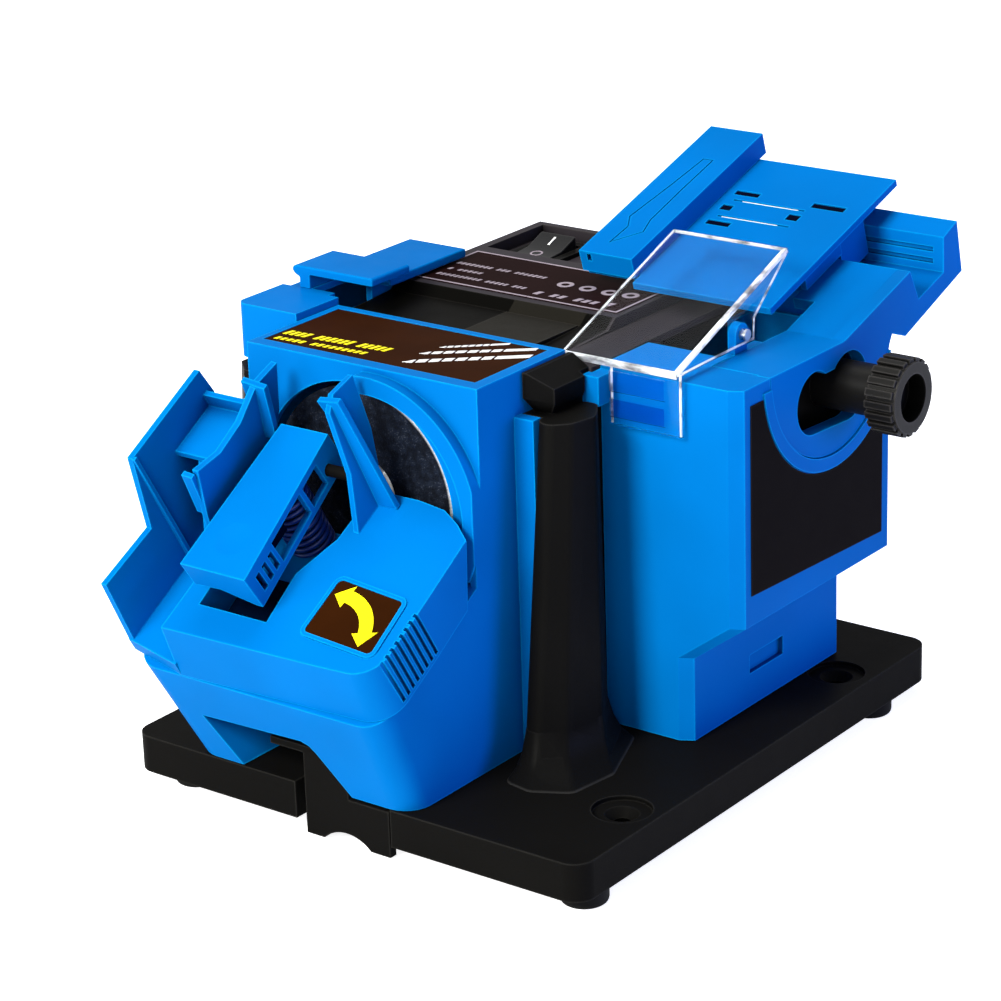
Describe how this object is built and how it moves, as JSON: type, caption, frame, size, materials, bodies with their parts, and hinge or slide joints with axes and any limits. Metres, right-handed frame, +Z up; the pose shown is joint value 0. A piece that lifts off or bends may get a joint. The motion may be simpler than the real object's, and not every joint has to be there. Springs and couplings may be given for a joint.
{
  "type": "electric knife sharpener",
  "caption": "Bench sharpener with a motor unit, a hooded grinding wheel and lift-off heads for drills, chisels and knives, with a clamp, a tilting table and a clear guard.",
  "frame": {"origin": "floor level below the centre of the four bench screw holes", "axes": "+X right along the front edge, +Y to the back, +Z up"},
  "size_m": [0.204, 0.251, 0.1818],
  "materials": {
    "black_plastic": "satin",
    "blue_plastic": "satin",
    "rocker_plastic": "gloss",
    "knob_plastic": "satin",
    "rubber": "matt",
    "label": "satin",
    "panel": "satin",
    "abrasive": "gritty",
    "steel": "brushed",
    "clear_plastic": "clear"
  },
  "bodies": {
    "base": {"base_plate": "black_plastic", "rubber_feet": "rubber", "motor_housing": "black_plastic", "guide_post_right": "black_plastic", "guide_post_left": "black_plastic", "top_cover": "black_plastic", "rating_label": "label", "switch_frame": "black_plastic", "motor_can": "steel", "shaft_bearings": "steel", "motor_cradle": "black_plastic", "cord_gland": "black_plastic", "housing_screws": "steel", "head_rails": "black_plastic", "latch_pin": "steel"},
    "rocker": {"switch_rocker": "rocker_plastic"},
    "rotor": {"motor_shaft": "steel", "armature": "steel", "cooling_fan": "black_plastic", "wheel_flanges": "steel", "grinding_wheel": "abrasive", "wheel_nut": "steel"},
    "latch": {"head_latch": "black_plastic"},
    "drill_head": {"drill_shell": "blue_plastic", "drill_label": "label", "swing_stud": "steel"},
    "holder": {"holder_block": "blue_plastic", "guide_wall": "blue_plastic", "left_fin": "blue_plastic", "right_fin": "blue_plastic", "turn_label": "label", "clamp_pin": "black_plastic", "clamp_spring": "steel"},
    "clamp": {"clamp_lever": "blue_plastic"},
    "chisel_head": {"chisel_shell": "blue_plastic", "slot_liner": "black_plastic", "side_panel": "panel", "guard_pin": "steel"},
    "table": {"tilt_table": "blue_plastic"},
    "carriage": {"guide_plate": "blue_plastic"},
    "fence": {"fence_bar": "blue_plastic"},
    "guard": {"clear_guard": "clear_plastic"},
    "knob": {"lock_knob": "knob_plastic", "knob_stud": "steel"},
    "knife_head": {"knife_shell": "blue_plastic", "knife_lip": "blue_plastic", "knife_rear_slab": "blue_plastic"}
  },
  "joints": [
    {"name": "wheel_spin", "type": "hinge", "parent": "base", "child": "rotor", "pos_m": [-0.0226, 0, 0.1006], "axis": [0, 1, 0], "continuous": true},
    {"name": "switch_rock", "type": "hinge", "parent": "base", "child": "rocker", "pos_m": [-0.051, 0.079, 0.1376], "axis": [1, 0, 0], "range_deg": [-26, 0]},
    {"name": "latch_press", "type": "hinge", "parent": "base", "child": "latch", "pos_m": [0, -0.094, 0.0152], "axis": [1, 0, 0], "range_deg": [0, 6], "stiffness_Nm_per_rad": 0.6, "springref_deg": -2.86},
    {"name": "drill_lift", "type": "slide", "parent": "base", "child": "drill_head", "axis": [0, 0, 1], "range_m": [0, 0.1]},
    {"name": "holder_swing", "type": "hinge", "parent": "drill_head", "child": "holder", "pos_m": [-0.03, -0.078, 0.09778], "axis": [0, -0.515, 0.8572], "range_deg": [-8, 2]},
    {"name": "clamp_press", "type": "hinge", "parent": "holder", "child": "clamp", "pos_m": [0, -0.07587, 0.11365], "axis": [1, 0, 0], "range_deg": [0, 4], "stiffness_Nm_per_rad": 1.5, "springref_deg": -3.44, "deforming": ["clamp_spring"]},
    {"name": "chisel_lift", "type": "slide", "parent": "base", "child": "chisel_head", "axis": [0, 0, 1], "range_m": [0, 0.1]},
    {"name": "table_tilt", "type": "hinge", "parent": "chisel_head", "child": "table", "pos_m": [0.06, 0.042, 0.141], "axis": [1, 0, 0], "range_deg": [0, 10]},
    {"name": "carriage_slide", "type": "slide", "parent": "table", "child": "carriage", "axis": [1, 0, 0], "range_m": [-0.008, 0.02]},
    {"name": "fence_slide", "type": "slide", "parent": "carriage", "child": "fence", "axis": [1, 0, 0], "range_m": [-0.005, 0.005]},
    {"name": "guard_flip", "type": "hinge", "parent": "chisel_head", "child": "guard", "pos_m": [0.05, 0.0234, 0.1458], "axis": [1, 0, 0], "range_deg": [-20, 0]},
    {"name": "knob_turn", "type": "hinge", "parent": "chisel_head", "child": "knob", "pos_m": [0.1, 0.0515, 0.1245], "axis": [1, 0, 0], "range_deg": [0, 270]},
    {"name": "knife_lift", "type": "slide", "parent": "base", "child": "knife_head", "axis": [0, 0, 1], "range_m": [0, 0.1]}
  ]
}
